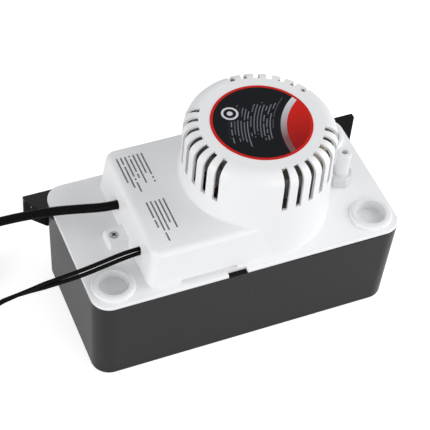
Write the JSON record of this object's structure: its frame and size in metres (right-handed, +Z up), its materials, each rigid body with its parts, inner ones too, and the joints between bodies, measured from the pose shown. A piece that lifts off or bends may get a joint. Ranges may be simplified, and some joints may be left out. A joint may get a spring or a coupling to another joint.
{
  "type": "condensate pump",
  "caption": "Condensate removal pump: a shallow drain tank with wall ears, a lid with collared inlets and an outlet valve, a vented motor housing and two cords.",
  "frame": {"origin": "centre of the tank's underside, cords left out", "axes": "+X along the length towards the outlet valve, +Y towards the wall ears, +Z up"},
  "size_m": [0.502, 0.2084, 0.1913],
  "materials": {
    "tank_plastic": "satin moulded charcoal",
    "lid_plastic": "satin moulded off-white",
    "housing_plastic": "smooth moulded white",
    "label_film": "printed film, semi-gloss",
    "label_clear": "thin matt film",
    "zinc_steel": "zinc plated",
    "bright_steel": "ground",
    "lamination_steel": "varnished laminations",
    "copper": "bare copper",
    "bronze": "plain",
    "coil_tape": "cream winding tape",
    "cream_plastic": "moulded",
    "fan_plastic": "moulded brown",
    "switch_plastic": "moulded black",
    "milky_plastic": "translucent white",
    "clear_plastic": "clear to milky",
    "float_foam": "closed-cell black",
    "black_rubber": "matt",
    "cord_jacket": "semi-gloss jacket",
    "plug_rubber": "semi-gloss moulded"
  },
  "bodies": {
    "base": {"tank": "tank_plastic", "lid": "lid_plastic", "motor_housing": "housing_plastic", "round_label": "label_film", "info_label": "label_clear", "housing_screw": "zinc_steel", "outlet_nut": "clear_plastic", "outlet_tube": "milky_plastic", "stator_core": "lamination_steel", "coil_bobbin": "cream_plastic", "coil_winding": "coil_tape", "shading_rings": "copper", "lower_bracket": "zinc_steel", "upper_bracket": "zinc_steel", "bearing_bushes": "bronze", "motor_screws": "zinc_steel", "volute_body": "lid_plastic", "volute_cover": "lid_plastic", "volute_screws": "zinc_steel", "intake_screen": "lid_plastic", "pump_column": "lid_plastic", "riser_pipe": "milky_plastic", "lever_pin": "bright_steel", "main_switch": "switch_plastic", "safety_switch": "switch_plastic", "switch_terminals": "bronze", "switch_pins": "bright_steel", "switch_bracket": "zinc_steel", "bracket_screws": "zinc_steel", "power_cord_grip": "switch_plastic", "switch_lead_grip": "switch_plastic", "power_cord": "cord_jacket", "power_cord_coil": "cord_jacket", "power_cord_tail": "cord_jacket", "power_plug": "plug_rubber", "plug_blades": "bronze", "switch_lead": "cord_jacket", "switch_lead_coil": "cord_jacket"},
    "rotor": {"rotor_core": "lamination_steel", "shaft": "bright_steel", "cooling_fan": "fan_plastic", "slinger": "black_rubber", "impeller": "cream_plastic"},
    "float": {"float_body": "float_foam", "float_rod": "bright_steel", "rod_collars": "cream_plastic", "rod_clip": "zinc_steel"},
    "rocker": {"lever": "cream_plastic"},
    "main_button": {"main_plunger": "fan_plastic"},
    "safety_button": {"safety_plunger": "fan_plastic"},
    "valve_ball": {"check_ball": "black_rubber"},
    "left_inlet_plug": {"inlet_plug_left": "lid_plastic"},
    "right_inlet_plug": {"inlet_plug_right": "lid_plastic"}
  },
  "joints": [
    {"name": "rotor_spin", "type": "hinge", "parent": "base", "child": "rotor", "pos_m": [0.027, 0.0005, 0.14], "axis": [0, 0, 1], "continuous": true},
    {"name": "float_rise", "type": "slide", "parent": "base", "child": "float", "axis": [0, 0, 1], "range_m": [0, 0.0215]},
    {"name": "rocker_tilt", "type": "hinge", "parent": "base", "child": "rocker", "pos_m": [-0.02, 0.0005, 0.1123], "axis": [0, 1, 0], "range_deg": [0, 26]},
    {"name": "main_button_press", "type": "slide", "parent": "base", "child": "main_button", "axis": [0, 0, 1], "range_m": [0, 0.0012]},
    {"name": "safety_button_press", "type": "slide", "parent": "base", "child": "safety_button", "axis": [0, 0, 1], "range_m": [0, 0.0012]},
    {"name": "valve_ball_lift", "type": "slide", "parent": "base", "child": "valve_ball", "axis": [0, 0, 1], "range_m": [0, 0.003]},
    {"name": "left_plug_pull", "type": "slide", "parent": "base", "child": "left_inlet_plug", "axis": [0, 0, 1], "range_m": [0, 0.01]},
    {"name": "right_plug_pull", "type": "slide", "parent": "base", "child": "right_inlet_plug", "axis": [0, 0, 1], "range_m": [0, 0.02]}
  ],
  "couplings": [
    {"joint": "rocker_tilt", "follows": "float_rise", "rad_per_m": 21.013},
    {"joint": "main_button_press", "follows": "float_rise", "ratio": 0.055568},
    {"joint": "safety_button_press", "follows": "float_rise", "ratio": 0.055568}
  ]
}
